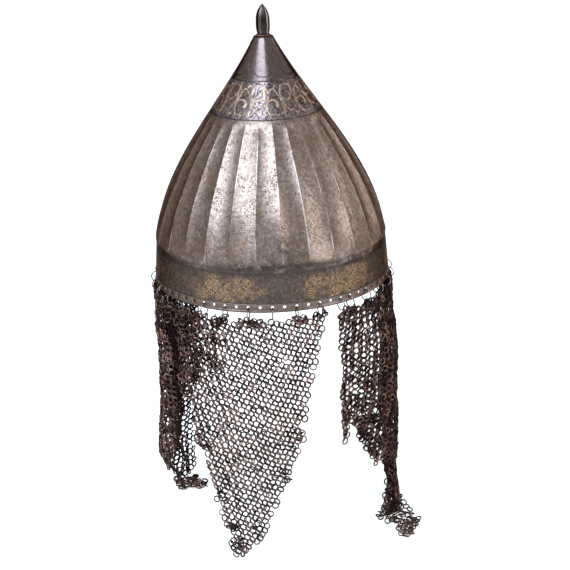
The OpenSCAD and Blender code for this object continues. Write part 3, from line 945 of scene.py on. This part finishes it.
neck = Panel(
    [
        (0, -50.5, 25), (0.13, -51.5, 21), (0.34, -53, 14.5), (0.36, -43, 14.3), (0.53, -42.5, 10),
        (0.55, -36, 8.5), (0.62, -35.5, 4.5), (0.75, -30, -0.5), (0.82, -29, -4), (0.89, -25, -7.5),
        (0.96, -25, -15), (1, -21.5, -18.5)
    ],
    [(0, 0), (1, 6)], hanger=-0.5, grain=20
)
bunches = [
    (-10.5, -9, 11, 3, 17), (11.5, -7, 7, 3, 9), (21.5, -6, 6, 3, 7), (-42, -11, 16, 7, 24),
    (-28, -8, 11, 4, 10), (-44, -52, 15, 26, 40), (10, -125, 4, 7, 4), (2.5, -168, 4, 7, 4),
    (-36, -140, 4, 7, 4), (-29, -190, 5, 8, 5), (-24.5, -226, 5, 8, 5), (-21.5, -244, 6, 6, 8)
]
random = np.random.default_rng(11)
neck_groups = [
    neck.rings(random, loose=0.16, gaps=[(4.8, -47.5, 4.5, 3.5), (-18.5, -8, 7, 3)]),
    # painted shade: this layer lies 4 mm inside, so its tones are cut to 0.12
    neck.rings(random, region=(-53, -25, -9, -62), inward=4, share=0.5, aligned=False),
    tangle(bunches, random),
    chains(neck, [(-39.3, -128, -141)], random)
]
neck_mail = make_mail("neck_mail_rings", neck_groups, random)
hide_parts("neck_mail")
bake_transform(neck_mail)


# Left panel
# The panel at the photograph's left. Its rows are level and hang in two deep folds, with a second layer behind
# its upper half. It is cut away at the front towards its end, which lies on the ground in a heap.

first_heap, more_heap = 0.62, 0.27  # share of the rings in a heap's lowest layer, and in those above
heap_z, layer_h = 1.9, 1.4  # height of the lowest layer over the ground, and from layer to layer
heap_lean, heap_jostle = 16.0, 0.9


def inside_outline(x, y, outline):
    """Which places lie inside an outline: those whose level line crosses an odd number of its sides."""
    odd = np.zeros(x.size, bool)
    for (ax, ay), (bx, by) in zip(outline, np.roll(outline, -1, axis=0)):
        between = (ay > y) != (by > y)
        odd ^= between & (x < ax + (y - ay) / np.where(by == ay, 1e-9, by - ay) * (bx - ax))
    return odd


def heap_rings(corners, layers, random):
    """Rings that lie on the ground inside an outline given as angle and distance out from the mail's radius.

    Each layer is a lattice turned its own way and a wire's thickness higher, and its rings lie nearly flat.
    """
    turn, out = np.array(corners, float).T
    outline = polar(turn, mail_r + out, 0.0)[:, :2] * 1000
    middle = (outline.min(0) + outline.max(0)) / 2
    j, i = np.mgrid[-30:30, -20:20]
    x = ((i + 0.5 * (j % 2)) * ring_pitch).ravel()
    y = (j * row_pitch).ravel()
    lean = np.where(j % 2 == 0, heap_lean, -heap_lean).ravel()
    groups = []
    for layer in range(layers):
        way = random.uniform(0, np.pi)
        c, s = math.cos(way), math.sin(way)
        px = c * x - s * y + middle[0] + random.normal(0, heap_jostle, x.size)
        py = s * x + c * y + middle[1] + random.normal(0, heap_jostle, x.size)
        share = more_heap if layer else first_heap
        keep = inside_outline(px, py, outline) & (random.random(x.size) < share)
        n = keep.sum()
        height = -mail_drop + heap_z + layer_h * layer + random.uniform(0, 0.5, n)
        middles = np.stack([px[keep], py[keep], height], axis=-1)
        leans = lean[keep] + random.normal(0, 20, n)
        rows, downs = np.tile([c, s, 0.0], (n, 1)), np.tile([s, -c, 0.0], (n, 1))
        groups.append((middles, rows, downs, leans, random.random(n)))
    return groups


left = Panel(
    [
        (0, -132, -51), (0.2, -129, -56), (0.34, -129, -59), (0.54, -129, -62), (0.59, -129, -63),
        (0.68, -129, -68), (0.76, -129, -77), (0.85, -129, -94), (0.92, -129, -105), (0.97, -128, -109),
        (1, -124, -110)
    ],
    [(0, 1), (0.05, 0), (0.22, -5), (0.48, -4), (0.76, 3), (1, 0)],
    hanger=-56.75, grain=3, fold=6, folds=2, first=-0.17
)
left_heap = [(-114.5, 8.5), (-103.5, -2), (-107, -15.5), (-110.5, -33.5), (-117, -27), (-120, -8.5)]
random = np.random.default_rng(12)
left_groups = [
    # painted shade: rings from -67 to -50 black, those behind -97 at 0.4 of their tone, and the inner layers
    # at 0.12; painted light: those from -90 to -67 at 1.5 times theirs
    left.rings(random, zones=[(-67, -50, 0.0, 0), (-90, -67, 1.5, 0), (-140, -97, 0.4, 0)]),
    left.rings(random, region=(-100, -67, -10, -132), inward=6, aligned=False),
    left.rings(random, region=(-67, -54, -10, -70), inward=6, share=0.6, aligned=False),
    left.rings(random, region=(-130, -100, -10, -84), inward=6, aligned=False),
    tangle([(-54, -14, 10, 9, 16), (-60, -10, 12, 5, 12)], random),
    chains(left, [(-84.5, -110, -118)], random)
]
left_groups += heap_rings(left_heap, 3, np.random.default_rng(21))
left_mail = make_mail("left_mail_rings", left_groups, random)
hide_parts("left_mail")
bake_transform(left_mail)


# Right panel
# The panel at the photograph's right. Its inner edge is folded double, its lower part is drawn together into
# tight folds, and its end is spread on the ground in front of it.

right = Panel(
    [
        (0, 30.5, 118.5), (0.12, 32.5, 118.5), (0.39, 33, 118), (0.47, 34, 118), (0.49, 37, 118),
        (0.505, 41, 118), (0.55, 44.3, 117), (0.59, 45.5, 117), (0.65, 51.5, 115), (0.71, 61, 112),
        (0.76, 70, 107), (0.79, 78, 102), (0.83, 79, 101), (0.88, 69, 106), (0.94, 65, 104), (1, 65, 100)
    ],
    [(0, 1), (0.25, 5), (0.7, 1.5), (0.85, 1), (0.95, 4), (1, 5)],
    hanger=50.1, grain=-4, fold=7, folds=1.4, first=-0.25, gather=1.5, pitch=8.2
)
right_heap = [
    (94, -3), (83, -6.5), (63.5, -7.5), (62, 7), (56.5, 22), (53.5, 29), (51, 39.5), (59, 38.5), (68.5, 34),
    (73, 24), (83, 12), (93, 5)
]
right_gaps = [(42, -94, 3.0, 4.0), (52, -122, 3.2, 5.0), (38.5, -74, 2.4, 3.0)]
# painted shade: the doubled layer's rings from 20 to 62 at half their tone
doubled, doubled_zones = (30, 58, 10, -180), [(20, 62, 0.5, -6)]
random = np.random.default_rng(13)
right_groups = [
    # painted shade: front rings from 20 to 62 at 0.9 of their tone and those from 64 to 120 at 0.4; the layers
    # 3 and 6 mm inside at 0.12
    right.rings(random, loose=0.04, gaps=right_gaps, zones=[(20, 62, 0.9, -6), (64, 120, 0.4, 0)]),
    right.rings(random, 0.04, doubled, 1.5, right_gaps, share=0.75, zones=doubled_zones),
    right.rings(random, region=(45.5, 49.5, -84, -150), inward=3, aligned=False),
    right.rings(random, region=(52, 97, -10, -215), inward=6, share=0.32, aligned=False),
    right.rings(random, region=(74, 107, -184, -254), inward=-1.5, aligned=False),
    right.rings(random, region=(64, 110, -184, -254), inward=2.5, aligned=False),
    tangle([(36, -10, 8, 4, 14), (55, -12, 12, 6, 20)], random),
    chains(right, [(34.4, -100, -143), (35.6, -98, -138), (57.5, -176, -184)], random)
]
right_groups += heap_rings(right_heap, 2, np.random.default_rng(22))
right_mail = make_mail("right_mail_rings", right_groups, random)
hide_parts("right_mail")
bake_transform(right_mail)


# Floor, light and camera
# A plain white floor under the mail's ends, a white surround and three soft lamps: a wide one at the upper
# left, a weaker one low at the right and a narrow one at the far right. The camera looks down 19 degrees.

def seen_directly(tree):
    """1 for rays from the camera, off a shiny surface or through glass, and 0 for the light's own rays."""
    rays = ("Is Camera Ray", "Is Glossy Ray", "Is Transmission Ray")
    camera, glossy, through = tree.add("LightPath", {}, *rays)
    return tree.maths("MAXIMUM", tree.maths("MAXIMUM", camera, glossy), through)


# a large flat square at the depth that the mail's ends reach, lit up to white where it is looked at
z = -mail_drop * 0.001 - 0.0004
floor_mesh = new_mesh("floor", [(-6, -6, z), (6, -6, z), (6, 6, z), (-6, 6, z)], [(0, 1, 2, 3)])
floor = in_scene("floor", floor_mesh)
white = Finish("floor_white", 0.0, 0.9)
white.set("Base Color", (0.86, 0.86, 0.86, 1))
white.set("Specular IOR Level", 0.0)
white.set("Emission Color", (1, 1, 1, 1))
white.set("Emission Strength", seen_directly(white) * 0.6)
floor_mesh.materials.append(white.material)

# soft grey light from all round on the object, and white where the camera or a reflection looks at it
world = bpy.data.worlds.new("surround")
tree = Nodes(world)
light, bright = [tree.add("Background", {0: (1, 1, 1, 1), 1: strength}, 0) for strength in (0.45, 1.0)]
mixed = tree.add("MixShader", {0: seen_directly(tree), 1: light, 2: bright}, 0)
tree.put(tree.nodes["World Output"].inputs["Surface"], mixed)
bpy.context.scene.world = world

lamp_aim = 0.06  # height of the place that the lamps look at, in metres


def look(thing, place, way, roll):
    """Puts a lamp or the camera at a place, where it looks one way and is rolled about that."""
    thing.location = place
    thing.rotation_mode = "QUATERNION"
    rolled = Matrix.Rotation(roll, 4, "Z").to_quaternion()
    thing.rotation_quaternion = Vector(way).to_track_quat("-Z", "Y") @ rolled


def make_lamp(name, azimuth, elevation, distance, size, watts, colour, roll=0.0):
    """A soft lamp, size metres wide and high, that looks at the bowl from an angle round it and above it. Its
    roll, in radians, lowers its left end."""
    lamp = bpy.data.lights.new(name, "AREA")
    lamp.shape = "RECTANGLE"
    lamp.size, lamp.size_y = size
    lamp.energy = watts
    lamp.color = colour
    a, e = math.radians(azimuth), math.radians(elevation)
    out = np.array([math.sin(a) * math.cos(e), -math.cos(a) * math.cos(e), math.sin(e)])
    look(in_scene(name, lamp), out * distance + np.array([0, 0, lamp_aim]), -out, roll)


make_lamp("key_lamp", -30, 41, 1.7, (1.70, 0.90), 64, (0.65, 0.81, 1.0), 0.60)
make_lamp("side_lamp", 56, 16, 1.9, (1.1, 1.0), 16, (0.86, 0.93, 1.0))
make_lamp("edge_lamp", 112, 12, 1.7, (0.4, 0.9), 5, (0.95, 0.97, 1.0))

camera_distance = 1.4  # metres from the rim's centre
camera_rise = math.radians(19.42)
camera_roll = math.radians(-2.17)
image_px = 570
focal_px = 1415.5
centre_px = (272.16, 271.30)  # where the camera's axis meets the picture

lens = bpy.data.cameras.new("camera")
lens.sensor_width = 36
lens.lens = focal_px / image_px * lens.sensor_width
lens.shift_x = (image_px / 2 - centre_px[0]) / image_px
lens.shift_y = (centre_px[1] - image_px / 2) / image_px
camera = in_scene("camera", lens)
way = np.array([0, math.cos(camera_rise), -math.sin(camera_rise)])
look(camera, -way * camera_distance, way, camera_roll)
bpy.context.scene.camera = camera
bpy.context.scene.view_settings.view_transform = "Standard"
